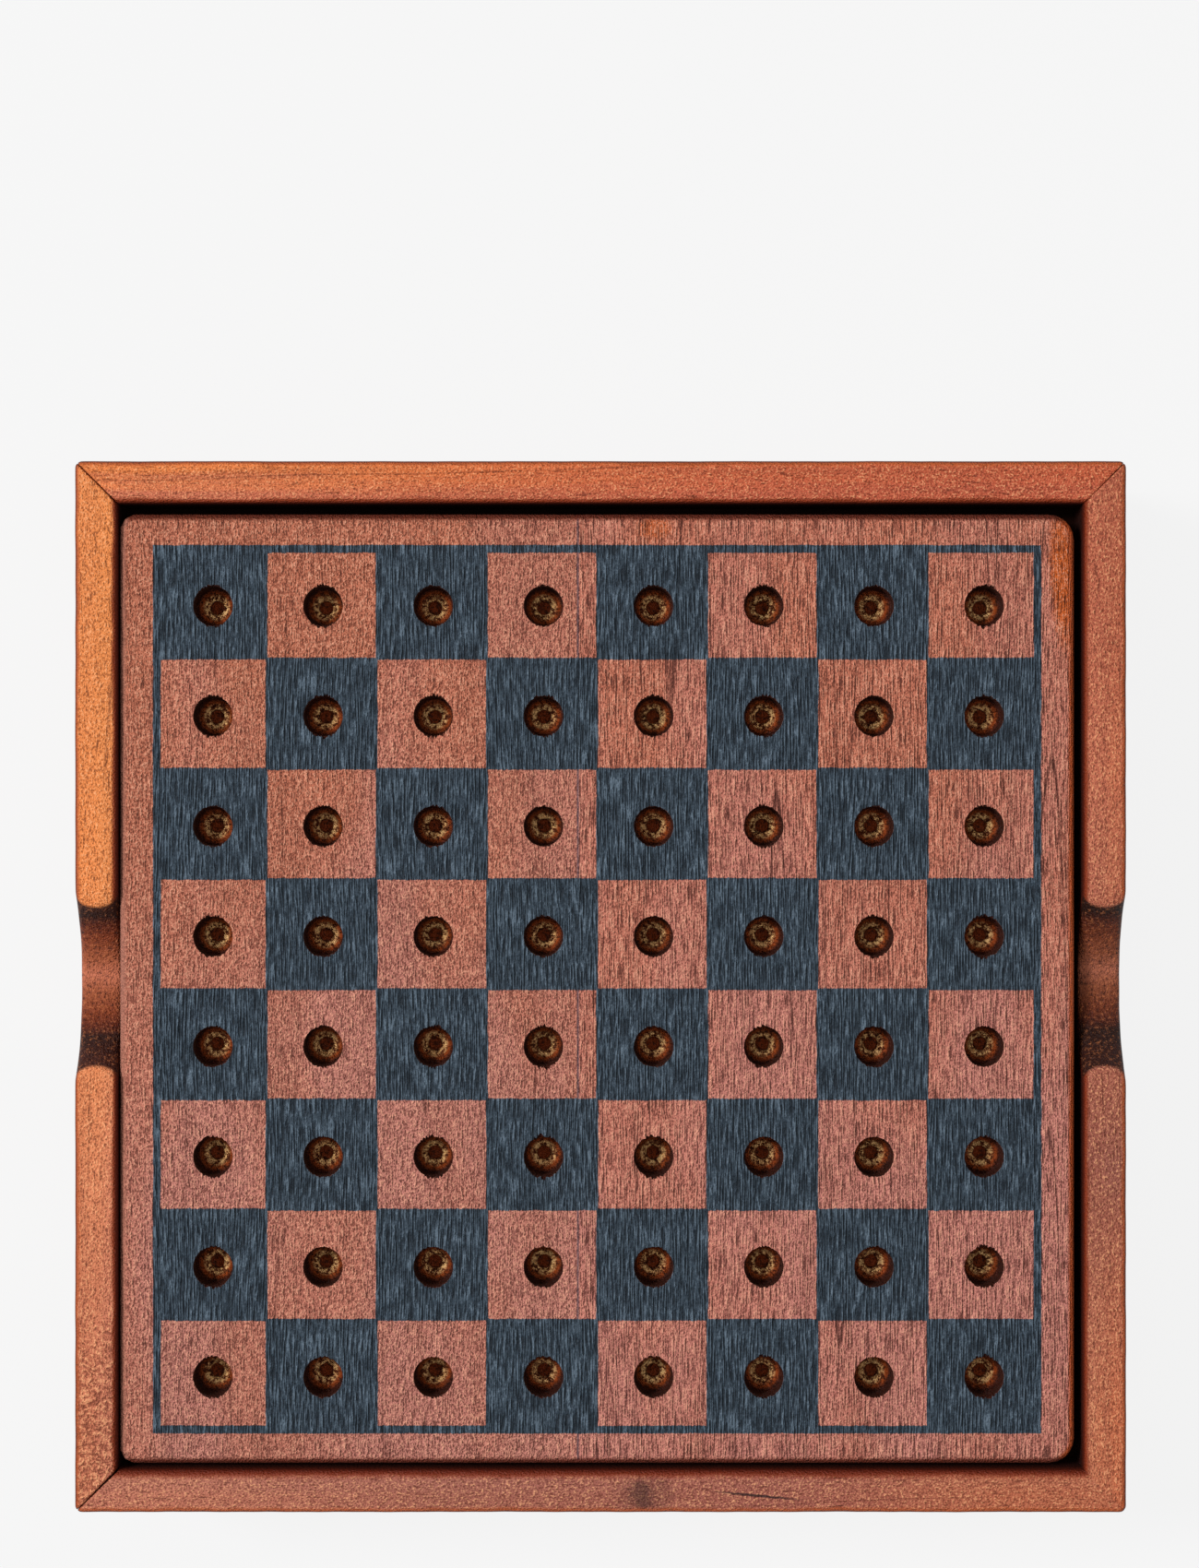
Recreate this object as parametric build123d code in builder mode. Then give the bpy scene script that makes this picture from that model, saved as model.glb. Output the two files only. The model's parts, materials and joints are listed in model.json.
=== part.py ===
from build123d import *

import os

# Chequered peg board that lifts out of a mitred wooden storage tray.
#
# Frame: +Z up, +X right, +Y back. The origin is the middle of the tray's footprint, on the surface
# that the tray stands on. Every length is in millimetres.

# Tray: four mitred rails round a square opening
tray_side = 180.0  # outside, both ways
tray_height = 38.0
rail_thickness = 7.2
tray_corner_radius = 1.2  # the outside upright corners
rail_top_radius = 1.0  # the long edges of the rails' tops and of the notches
rail_foot_radius = 0.5

# Finger notches, one in the middle of the left rail and one in the right
notch_width = 28.2  # along the rail, at its top
notch_depth = 6.4
notch_lip_radius = 1.2  # where the notch runs out into the top of the rail

# Base panel, loose in a groove that runs round the rails
base_thickness = 3.0
groove_foot = 3.0  # wood under the groove
groove_depth = 3.6
groove_play = 0.2  # above the panel
base_edge_gap = 0.4  # between the panel's edge and the bottom of the groove

# Support strips, glued and pinned round the inside of the rails
strip_thickness = 5.0
strip_height = 8.0

# Board: two edge-glued staves that lie on the strips
board_thickness = 10.0
board_recess = 1.5  # from the tops of the rails down to the board's face
board_play_x = 1.6  # both sides together
board_play_y = 2.5
board_shift_x = -0.6  # where the board lies within that play
board_shift_y = -0.5
board_left_corner_radius = 2.6  # in plan
board_right_corner_radius = 4.4
board_face_radius = 1.5  # the eased edge round the face
board_back_radius = 0.8
stave_joint_x = -3.3  # from the board's middle to the glue joint

# Chequer: dark paint round plain squares of bare wood
squares = 8  # along each side, an even number
paint_margin = 5.35  # bare wood between the paint and the board's nearer edges
paint_overhang = 0.6  # paint beyond the outer squares
paint_border = 1.35  # dark line outside the outer plain squares
plain_inset = 0.17  # a plain square is this much smaller than its cell, on each side
plain_corner_radius = 0.3
paint_thickness = 0.1
paint_hole_gap = 0.1  # the paint stops this far outside a hole

# Peg holes, one in each square, as a pointed wood bit leaves them
hole_radius = 3.35
hole_wall_depth = 4.6
hole_cone_depth = 1.4
pilot_radius = 1.2
pilot_depth = 0.7
pilot_tip_depth = 0.4
drill_shift_x = 0.25  # the drilled grid against the painted one
drill_shift_y = -0.4

# Brads: two through each mitre, and a row through each strip
brad_radius = 0.6
brad_head_radius = 0.9
brad_head_thickness = 0.5
mitre_brad_length = 20.0
mitre_brad_height = 11.0  # of the lower one
mitre_brad_drop = 8.0  # of the upper one, below the top of the rail
strip_brad_length = 8.0
strip_brad_count = 3
strip_brad_end = 20.0  # from the end of a strip to its first brad

# Worked out from the values above
opening = tray_side - 2 * rail_thickness
strip_inner = opening - 2 * strip_thickness
board_back_z = tray_height - board_recess - board_thickness
board_width = opening - board_play_x
board_depth = opening - board_play_y
paint_side = min(board_width, board_depth) - 2 * paint_margin
pitch = (paint_side - 2 * paint_overhang) / squares
notch_radius = (notch_width**2 / 4 + notch_depth**2) / (2 * notch_depth)

# The board's own planes, at its middle
board_back = Plane((board_shift_x, board_shift_y, board_back_z))
board_face = board_back.offset(board_thickness)
drill_face = Plane(board_face.origin + (drill_shift_x, drill_shift_y, 0))


def write(piece, name):
    """Labels a finished sub-part and writes its STEP file."""
    piece.part.label = name
    export_step(piece.part, f"parts/{name}.step")


def brad(length):
    """A headed pin along Z, with the top of its head at the origin and its shank below."""
    with BuildPart() as pin:
        Cylinder(brad_radius, length, align=(Align.CENTER, Align.CENTER, Align.MAX))
        Cylinder(
            brad_head_radius,
            brad_head_thickness,
            align=(Align.CENTER, Align.CENTER, Align.MAX),
        )
    return pin.part


os.makedirs("parts", exist_ok=True)

# Mitre brads: driven from outside the left and right rails into the ends of the front and back ones
mitre_brad = brad(mitre_brad_length)
rail_middle = (tray_side - rail_thickness) / 2
with BuildPart() as mitre_brads:
    for side in (-1, 1):
        for end in (-1, 1):
            for height in (mitre_brad_height, tray_height - mitre_brad_drop):
                point = (side * tray_side / 2, end * rail_middle, height)
                with Locations(Plane(point, z_dir=(side, 0, 0))):
                    add(mitre_brad)
write(mitre_brads, "mitre_brads")

# Strip brads: driven from inside the tray through each strip into its rail
strip_brad = brad(strip_brad_length)
strip_middle_z = board_back_z - strip_height / 2
long_spacing = (opening - 2 * strip_brad_end) / (strip_brad_count - 1)
short_spacing = (strip_inner - 2 * strip_brad_end) / (strip_brad_count - 1)
with BuildPart() as strip_brads:
    for side in (-1, 1):
        front_or_back = (0, side * strip_inner / 2, strip_middle_z)
        with Locations(Plane(front_or_back, x_dir=(1, 0, 0), z_dir=(0, -side, 0))):
            with GridLocations(long_spacing, 1, strip_brad_count, 1):
                add(strip_brad)
        left_or_right = (side * strip_inner / 2, 0, strip_middle_z)
        with Locations(Plane(left_or_right, x_dir=(0, 1, 0), z_dir=(-side, 0, 0))):
            with GridLocations(short_spacing, 1, strip_brad_count, 1):
                add(strip_brad)
write(strip_brads, "strip_brads")

# Rails: the whole ring with its groove and notches, then sawn apart along the two mitre planes
with BuildPart() as ring:
    with BuildSketch():
        RectangleRounded(tray_side, tray_side, tray_corner_radius)
        Rectangle(opening, opening, mode=Mode.SUBTRACT)
    extrude(amount=tray_height)
    fillet(ring.faces().sort_by(Axis.Z)[0].outer_wire().edges(), rail_foot_radius)
    with BuildSketch(Plane.XY.offset(groove_foot)):
        Rectangle(opening + 2 * groove_depth, opening + 2 * groove_depth)
    extrude(amount=base_thickness + groove_play, mode=Mode.SUBTRACT)
    with BuildSketch(Plane.YZ):
        with Locations((0, tray_height + notch_radius - notch_depth)):
            Circle(notch_radius)
    extrude(amount=tray_side, both=True, mode=Mode.SUBTRACT)
    # The lips are the straight edges across the rails where the notches start
    top_edges = ring.edges().group_by(Axis.Z)[-1]
    fillet(top_edges.filter_by(lambda edge: abs(edge.length - rail_thickness) < 0.01), notch_lip_radius)
    # Every other edge up here runs along the rails, down and up through the notches
    high_edges = ring.edges().filter_by_position(Axis.Z, tray_height - notch_depth - 0.01, tray_height)
    fillet(high_edges.filter_by(lambda edge: abs(edge.length - rail_thickness) > 0.01), rail_top_radius)

# Each rail lies on its own side of both mitre planes, which stand on the tray's diagonals
mitre_a = Plane((0, 0, 0), z_dir=(1, 1, 0))
mitre_b = Plane((0, 0, 0), z_dir=(1, -1, 0))
rail_sides = {
    "rail_front": (Keep.BOTTOM, Keep.TOP),
    "rail_back": (Keep.TOP, Keep.BOTTOM),
    "rail_left": (Keep.BOTTOM, Keep.BOTTOM),
    "rail_right": (Keep.TOP, Keep.TOP),
}
for name, (side_a, side_b) in rail_sides.items():
    with BuildPart() as rail:
        add(ring.part)
        split(bisect_by=mitre_a, keep=side_a)
        split(bisect_by=mitre_b, keep=side_b)
        add(mitre_brads.part, mode=Mode.SUBTRACT)
        add(strip_brads.part, mode=Mode.SUBTRACT)
    write(rail, name)

# Base panel: lies on the lower faces of the grooves
base_side = opening + 2 * (groove_depth - base_edge_gap)
with BuildPart() as base_panel:
    with BuildSketch(Plane.XY.offset(groove_foot)):
        Rectangle(base_side, base_side)
    extrude(amount=base_thickness)
write(base_panel, "base_panel")

# Support strips: the front and back ones run right across, and the other two fit between them
strip_middle = (opening - strip_thickness) / 2
strip_plan = {
    "strip_front": (0, -strip_middle, opening, strip_thickness),
    "strip_back": (0, strip_middle, opening, strip_thickness),
    "strip_left": (-strip_middle, 0, strip_thickness, strip_inner),
    "strip_right": (strip_middle, 0, strip_thickness, strip_inner),
}
for name, (x, y, width, depth) in strip_plan.items():
    with BuildPart() as strip:
        with BuildSketch(Plane.XY.offset(board_back_z - strip_height)):
            with Locations((x, y)):
                Rectangle(width, depth)
        extrude(amount=strip_height)
        add(strip_brads.part, mode=Mode.SUBTRACT)
    write(strip, name)

# What the bit takes out: a straight wall, a cone and the pit of its point
with BuildPart() as peg_hole:
    with BuildSketch(Plane.XZ):
        with BuildLine():
            Polyline(
                (0, 0),
                (hole_radius, 0),
                (hole_radius, -hole_wall_depth),
                (pilot_radius, -hole_wall_depth - hole_cone_depth),
                (pilot_radius, -hole_wall_depth - hole_cone_depth - pilot_depth),
                (0, -hole_wall_depth - hole_cone_depth - pilot_depth - pilot_tip_depth),
                close=True,
            )
        make_face()
    revolve(axis=Axis.Z)

# Board: one blank with its holes, then its two staves
with BuildPart() as blank:
    with BuildSketch(board_back) as outline:
        Rectangle(board_width, board_depth)
        corners = outline.vertices().group_by(Axis.X)
        fillet(corners[0], board_left_corner_radius)
        fillet(corners[-1], board_right_corner_radius)
    extrude(amount=board_thickness)
    fillet(blank.faces().sort_by(Axis.Z)[-1].edges(), board_face_radius)
    fillet(blank.faces().sort_by(Axis.Z)[0].edges(), board_back_radius)
    with Locations(drill_face):
        with GridLocations(pitch, pitch, squares, squares):
            add(peg_hole.part, mode=Mode.SUBTRACT)

glue_joint = Plane((board_shift_x + stave_joint_x, 0, 0), z_dir=(1, 0, 0))
for name, side in {"board_stave_left": Keep.BOTTOM, "board_stave_right": Keep.TOP}.items():
    with BuildPart() as stave:
        add(blank.part)
        split(bisect_by=glue_joint, keep=side)
    write(stave, name)

# Paint: a dark field with a window for each plain square and each hole in a dark one
with BuildPart() as chequer_print:
    with BuildSketch(board_face):
        Rectangle(paint_side, paint_side)
        plain_side = pitch - 2 * plain_inset
        with Locations((pitch / 2, pitch / 2), (-pitch / 2, -pitch / 2)):
            with GridLocations(2 * pitch, 2 * pitch, squares // 2, squares // 2):
                RectangleRounded(plain_side, plain_side, plain_corner_radius, mode=Mode.SUBTRACT)
        with BuildSketch(mode=Mode.ADD):
            inner_side = paint_side - 2 * paint_border
            Rectangle(paint_side, paint_side)
            Rectangle(inner_side, inner_side, mode=Mode.SUBTRACT)
        with Locations((drill_shift_x, drill_shift_y)):
            with GridLocations(pitch, pitch, squares, squares):
                Circle(hole_radius + paint_hole_gap, mode=Mode.SUBTRACT)
    extrude(amount=paint_thickness)
write(chequer_print, "chequer_print")
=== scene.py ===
import json
import math

import bmesh
import bpy
import numpy as np
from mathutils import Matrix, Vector


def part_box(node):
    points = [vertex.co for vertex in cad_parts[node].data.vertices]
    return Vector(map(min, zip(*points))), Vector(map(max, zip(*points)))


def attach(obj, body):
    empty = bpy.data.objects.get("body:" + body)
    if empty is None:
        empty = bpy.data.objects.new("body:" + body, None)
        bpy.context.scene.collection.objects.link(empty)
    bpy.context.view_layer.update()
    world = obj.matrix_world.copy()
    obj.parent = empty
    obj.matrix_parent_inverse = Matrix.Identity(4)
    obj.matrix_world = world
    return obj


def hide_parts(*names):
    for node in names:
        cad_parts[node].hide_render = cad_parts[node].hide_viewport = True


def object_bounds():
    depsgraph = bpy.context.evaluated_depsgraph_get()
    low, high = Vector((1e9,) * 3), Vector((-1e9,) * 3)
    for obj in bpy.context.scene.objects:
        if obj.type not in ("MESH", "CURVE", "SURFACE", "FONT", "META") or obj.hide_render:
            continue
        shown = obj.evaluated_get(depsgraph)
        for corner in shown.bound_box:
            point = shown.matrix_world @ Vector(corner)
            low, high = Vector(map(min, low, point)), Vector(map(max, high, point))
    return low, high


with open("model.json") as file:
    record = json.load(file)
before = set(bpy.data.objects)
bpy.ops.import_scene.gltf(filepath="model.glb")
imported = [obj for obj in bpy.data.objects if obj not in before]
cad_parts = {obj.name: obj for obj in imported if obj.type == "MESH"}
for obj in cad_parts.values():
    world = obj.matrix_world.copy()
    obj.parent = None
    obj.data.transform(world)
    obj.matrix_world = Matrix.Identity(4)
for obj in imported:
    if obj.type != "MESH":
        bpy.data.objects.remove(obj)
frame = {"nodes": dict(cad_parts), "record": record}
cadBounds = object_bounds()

mm = 0.001
chance = np.random.default_rng(64)

# Sizes and places, read from the frame
trayLow, trayHigh = (np.array(corner) for corner in cadBounds)
leftLow, leftHigh = (np.array(corner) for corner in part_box("board_stave_left"))
rightHigh = np.array(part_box("board_stave_right")[1])
railLow, railHigh = (np.array(corner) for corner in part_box("rail_left"))
panelLow, panelHigh = (np.array(corner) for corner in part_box("base_panel"))
paintLow, paintHigh = (np.array(corner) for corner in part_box("chequer_print"))
holeMounts = [mount for mount in frame["record"]["mounts"] if mount["kind"] == "bore"]
holeCentres = np.array([mount["pos_m"] for mount in holeMounts])
holeXs = np.unique(holeCentres[:, 0].round(6))
holeYs = np.unique(holeCentres[:, 1].round(6))
holeRadius = holeMounts[0]["dims"]["r_mm"] * mm
holeWall = holeMounts[0]["dims"]["length_mm"] * mm
pitch = (holeXs[-1] - holeXs[0]) / (len(holeXs) - 1)

halfTray = trayHigh[0]
railTop = trayHigh[2]
railWidth = railHigh[0] - railLow[0]
boardCentre = np.array([(leftLow[0] + rightHigh[0]) / 2, (leftLow[1] + leftHigh[1]) / 2])
boardHalf = np.array([(rightHigh[0] - leftLow[0]) / 2, (leftHigh[1] - leftLow[1]) / 2])
boardTop, boardBottom = leftHigh[2], leftLow[2]
glueX = leftHigh[0]
paintCentre = (paintLow[:2] + paintHigh[:2]) / 2
paintHalf = (paintHigh[0] - paintLow[0]) / 2


# Quads between neighbouring points of a rows by columns grid; wrap joins the last column to the first
def gridFaces(rows, columns, wrap=False, start=0):
    last = columns if wrap else columns - 1
    row, column = np.meshgrid(np.arange(rows - 1), np.arange(last), indexing="ij")
    beside = (column + 1) % columns
    below = (row + 1) * columns
    quads = [row * columns + column, row * columns + beside, below + beside, below + column]
    return np.stack(quads, axis=-1).reshape(-1, 4) + start


# One object from an array of points, an array of quads and a few many-sided caps, with doubles merged
def meshPiece(name, body, points, quads, caps=(), masks=None, sharpAngle=38.0):
    mesh = bpy.data.meshes.new(name)
    mesh.from_pydata(points.reshape(-1, 3).tolist(), [], quads.tolist() + [list(cap) for cap in caps])
    for label, values in (masks or {}).items():
        layer = mesh.attributes.new(label, "FLOAT", "POINT")
        layer.data.foreach_set("value", values.ravel().astype(np.float32))
    joined = bmesh.new()
    joined.from_mesh(mesh)
    bmesh.ops.remove_doubles(joined, verts=joined.verts, dist=0.003 * mm)
    bmesh.ops.recalc_face_normals(joined, faces=joined.faces)
    joined.to_mesh(mesh)
    joined.free()
    mesh.shade_smooth()
    mesh.set_sharp_from_angle(angle=math.radians(sharpAngle))
    piece = bpy.data.objects.new(name, mesh)
    bpy.context.scene.collection.objects.link(piece)
    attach(piece, body)
    return piece


# A smooth random curve of about -1 to 1: sine waves added up, each a little shorter than the last
def waves(along, longest, shortest, count):
    height = np.zeros_like(along)
    for length in np.geomspace(longest, shortest, count):
        stretch, start = chance.uniform(0.7, 1.3), chance.uniform(0, 6.3)
        height = height + np.sin(2 * np.pi * along * stretch / length + start)
    return height / np.sqrt(count)


board = {
    "leftCorner": 2.6 * mm,  # in plan, at the left stave's two corners
    "rightCorner": 4.4 * mm,
    "faceRadius": 1.5 * mm,  # eased edge round the face
    "backRadius": 0.8 * mm,
    "sidePoints": 24,  # along each side of a square
    "underInset": 0.5 * mm,  # from the back's eased edge to the flat of the back
    "ripple": 0.022 * mm,  # unevenness of the planed face
    "rippleWaves": np.geomspace(17.0, 2.6, 9) * mm,  # their lengths across the grain
    "rippleBend": {"length": 31.0 * mm, "turn": 0.7},  # how they swing to and fro along it
    "rippleFade": 1.0 * mm,  # how deep under the face the unevenness ends
    "rimWidth": 0.75 * mm,  # flat ring outside a hole's rim
    "tornRim": 0.7 * mm,  # longest fibre torn out of a hole's rim, along the grain
    "rimFuzz": 0.03 * mm,  # least of the same
    "drillWander": 0.05 * mm,  # unevenness of the cut cone
    "coneDepth": 1.4 * mm,
    "pilotRadius": 1.2 * mm,
    "pilotDepth": 0.7 * mm,
    "tipDepth": 0.4 * mm,
    "dimDepth": 2.5 * mm,  # below the eased edge, where the sides are at their darkest
}
flatHalf = boardHalf - board["faceRadius"]
rippleSeeds = chance.uniform(0, 2 * np.pi, (2, len(board["rippleWaves"])))
farOff = 9 * mm  # the boreRadius mask away from the holes


# Height of the planed face: sine waves across the grain, each bent slowly along it
def boardRipple(x, y):
    swing = board["rippleBend"]
    bend = np.sin(y[..., None] / swing["length"] + rippleSeeds[0]) * swing["turn"]
    phase = 2 * np.pi * x[..., None] / board["rippleWaves"] + rippleSeeds[1] + bend
    return 2 * board["ripple"] * np.sin(phase).mean(axis=-1)


# For points round the board's flat: the nearest point of the box of its corners' arc centres, and the
# radius of the arcs on that side
def cornerCores(points):
    onLeft = points[..., :1] < boardCentre[0]
    radius = np.where(onLeft, board["leftCorner"], board["rightCorner"]) - board["faceRadius"]
    inner = flatHalf - radius
    return boardCentre + np.clip(points - boardCentre, -inner, inner), radius


# Points outside the flat's rounded corners are drawn in to the arcs, towards each arc's centre
def roundedCorners(points):
    core, radius = cornerCores(points)
    away = points - core
    length = np.linalg.norm(away, axis=-1, keepdims=True)
    return core + away * np.minimum(1, radius / np.maximum(length, 1e-9))


# A stave is one cell per hole. A cell's rings run from its square outline to a circle, over the torn rim,
# down the wall and the cone, and into the pit. A skirt goes from the outline of all the cells over the
# eased edge, down the sides and under.
def buildStave(name, columns, firstX, lastX):
    n = board["sidePoints"]
    xEdges = np.concatenate([[firstX], (columns[1:] + columns[:-1]) / 2, [lastX]])
    yEdges = np.concatenate(
        [[boardCentre[1] - flatHalf[1]], (holeYs[1:] + holeYs[:-1]) / 2, [boardCentre[1] + flatHalf[1]]]
    )
    step = np.linspace(0, 1, n, endpoint=False)
    one = np.ones(n)
    sweep = 2 * step - 1
    unitSquare = np.array([[one, sweep], [-sweep, one], [-one, -sweep], [sweep, -one]])
    unitSquare = unitSquare.transpose(0, 2, 1)  # side, point, x or y
    angle = np.radians(-45 + 90 * (np.arange(4)[:, None] + step)).ravel()
    around = np.stack([np.cos(angle), np.sin(angle)], axis=-1)

    low = np.stack(np.meshgrid(xEdges[:-1], yEdges[:-1]), axis=-1)
    high = np.stack(np.meshgrid(xEdges[1:], yEdges[1:]), axis=-1)
    centre = np.stack(np.meshgrid(columns, holeYs), axis=-1)
    middle, half = (low + high) / 2, (high - low) / 2
    outline = middle[:, :, None, None] + half[:, :, None, None] * unitSquare
    outline = roundedCorners(outline)
    rows, cols = outline.shape[:2]
    cells = rows * cols
    square = outline.reshape(cells, 4 * n, 2)
    centre = centre.reshape(cells, 1, 2)

    ragged = chance.random((cells, 4 * n)) ** 1.7 * np.abs(np.sin(angle)) ** 5
    torn = board["tornRim"] * ragged * chance.uniform(0.35, 1.0, (cells, 1)) + board["rimFuzz"]
    wander = board["drillWander"] * chance.standard_normal((cells, 4 * n))
    flat = np.zeros_like(torn)

    rings, depths, radii = [], [], []
    rim = holeRadius + board["rimWidth"]
    for share in (0.0, 0.05, 0.3, 0.6, 0.85, 1.0):
        rings.append(square * (1 - share) + (centre + rim * around) * share)
        depths.append(flat)
        radii.append(flat + farOff)
    # Pairs of radius and depth, from the torn rim down to the point of the pit
    wall, cone = holeWall, holeWall + board["coneDepth"]
    pilot, pit = board["pilotRadius"], cone + board["pilotDepth"]
    bore = [
        (holeRadius + torn + 0.05 * mm, flat),
        (holeRadius + torn, 0.07 * mm + 0.3 * torn),
        (holeRadius + 0.3 * torn, 0.3 * mm + 0.5 * torn),
        (holeRadius + flat, 0.9 * mm + flat),
        (holeRadius + flat, wall * 0.6 + flat),
        (holeRadius + flat, wall - 0.12 * mm + flat),
        (holeRadius - 0.12 * mm + flat, wall + 0.06 * mm + flat),
    ]
    for share in (0.3, 0.55, 0.8, 0.97):
        reach = holeRadius + (pilot - holeRadius) * share
        bore.append((reach + wander, wall + board["coneDepth"] * share + wander))
    bore += [
        (pilot + wander, cone + 0.12 * mm + wander),
        (pilot * 0.93 + wander, pit + flat),
        (pilot * 0.5 + flat, pit + board["tipDepth"] * 0.6 + flat),
        (flat, pit + board["tipDepth"] + flat),
    ]
    for radius, depth in bore:
        rings.append(centre + radius[..., None] * around)
        depths.append(depth)
        radii.append(radius)
    rings, depths, radii = (np.stack(values, axis=1) for values in (rings, depths, radii))
    ripple = boardRipple(rings[..., 0], rings[..., 1]) * np.clip(1 - depths / board["rippleFade"], 0, 1)
    points = np.concatenate([rings, (boardTop + ripple - depths)[..., None]], axis=-1)
    ringCount = rings.shape[1]
    quads = gridFaces(ringCount, 4 * n, wrap=True)
    quads = (quads[None] + (np.arange(cells) * ringCount * 4 * n)[:, None, None]).reshape(-1, 4)

    edge = np.concatenate([
        outline[0, :, 3].reshape(-1, 2),
        outline[:, -1, 0].reshape(-1, 2),
        outline[-1, ::-1, 1].reshape(-1, 2),
        outline[::-1, 0, 2].reshape(-1, 2),
    ])
    core, radius = cornerCores(edge)
    outward = (edge - core) / radius
    turn = np.radians(np.linspace(0, 90, 7))
    thickness = boardTop - boardBottom
    out = np.concatenate([
        board["faceRadius"] * np.sin(turn),
        [board["faceRadius"]] * 3,
        board["faceRadius"] - board["backRadius"] * (1 - np.cos(turn[1:])),
        [board["faceRadius"] - board["backRadius"] - board["underInset"]],
    ])
    down = np.concatenate([
        board["faceRadius"] * (1 - np.cos(turn)),
        np.linspace(board["faceRadius"], thickness - board["backRadius"], 4)[1:],
        thickness - board["backRadius"] * (1 - np.sin(turn[1:])),
        [thickness],
    ])
    skirt = edge[None] + outward[None] * out[:, None, None]
    fade = np.clip(1 - down / board["rippleFade"], 0, 1)[:, None]
    skirtZ = boardTop - down[:, None] + boardRipple(skirt[..., 0], skirt[..., 1]) * fade
    skirtPoints = np.concatenate([skirt, skirtZ[..., None]], axis=-1)
    start = points.size // 3
    skirtQuads = gridFaces(len(out), len(edge), wrap=True, start=start)
    under = start + (len(out) - 1) * len(edge) + np.arange(len(edge))
    eased = np.where(down < board["faceRadius"], out / board["faceRadius"], 1.0)
    dim = np.clip((down - board["faceRadius"]) / board["dimDepth"], 0, 1)
    eased, dim = (np.repeat(values[:, None], len(edge), axis=1) for values in (eased, dim))
    facing = outward[:, 0] + np.zeros_like(eased)

    every = np.concatenate([points.reshape(-1, 3), skirtPoints.reshape(-1, 3)])
    masks = {
        "boreDepth": np.concatenate([depths.ravel(), np.zeros(eased.size)]) / mm,
        "boreRadius": np.concatenate([radii.ravel(), np.full(eased.size, farOff)]) / mm,
        "easedEdge": np.concatenate([np.zeros(depths.size), eased.ravel()]),
        "dimFace": np.concatenate([np.zeros(depths.size), dim.ravel()]),
        "facing": np.concatenate([np.zeros(depths.size), facing.ravel()]),
    }
    return meshPiece(name, "board", every, np.concatenate([quads, skirtQuads]), [under.tolist()], masks)


staveLeft = buildStave("staveLeft", holeXs[holeXs < glueX], boardCentre[0] - flatHalf[0], glueX)
staveRight = buildStave("staveRight", holeXs[holeXs > glueX], glueX, boardCentre[0] + flatHalf[0])
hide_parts("board_stave_left", "chequer_print")
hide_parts("board_stave_right", "chequer_print")
print("staves:", len(staveLeft.data.polygons), len(staveRight.data.polygons), "faces")


rails = {
    "topRadius": 1.0 * mm,
    "footRadius": 0.5 * mm,
    "cornerRadius": 1.2 * mm,
    "grooveDepth": 3.6 * mm,
    "groovePlay": 0.2 * mm,
    "notchWidth": 28.2 * mm,
    "notchDepth": 6.4 * mm,
    "lip": 0.35 * mm,  # how much the notch's ends are rounded over
    "handEase": 2.3 * mm,  # how far back its corners are sanded at both faces of the rail
    "notchReach": 26.0 * mm,  # from the notch's middle to where the rail's top is untouched
    "notchFade": 6.0 * mm,
    "wobble": 0.16,  # share by which the eased edges vary along a rail
    "dimDepth": 3.0 * mm,  # below the top, where the inner faces are at their darkest
    "gapDepth": 4.0 * mm,  # how deep the open mitres reach, and over how much they close
    "gapFade": 3.0 * mm,
    "easeReach": 0.42 * mm,  # how far from a mitre its edge is worn
    "cutFull": 1.2 * mm,  # how deep in the notch the wood shows end grain only
    # Mitre gaps at the outside and the inside, at each corner from the front left, anticlockwise
    "mitreGaps": np.array([[0.14, 0.4], [0.0, 0.0], [0.16, 0.02], [0.18, 0.16]]) * mm,
    "mitreEase": np.array([0.3, 0.0, 0.22, 0.26]) * mm,
}


# How far the top drops: a circular arc below the rail's top, joined to it by a soft maximum, and reaching
# further out near the rail's two faces, where it is sanded back by a quarter ellipse
def notchDip(along, across):
    depth = rails["notchDepth"]
    radius = (rails["notchWidth"] ** 2 / 4 + depth**2) / (2 * depth)
    side = np.clip(np.abs(2 * across / railWidth - 1), 0, 0.985)
    reach = np.abs(along) - rails["handEase"] * (1 - np.sqrt(1 - side**2))
    arc = depth - radius + np.sqrt(np.clip(radius**2 - np.clip(reach, 0, None) ** 2, 0, None))
    soft = (arc + np.sqrt(arc**2 + 4 * rails["lip"] ** 2)) / 2
    return soft * np.clip((rails["notchReach"] - np.abs(along)) / rails["notchFade"], 0, 1)


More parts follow.
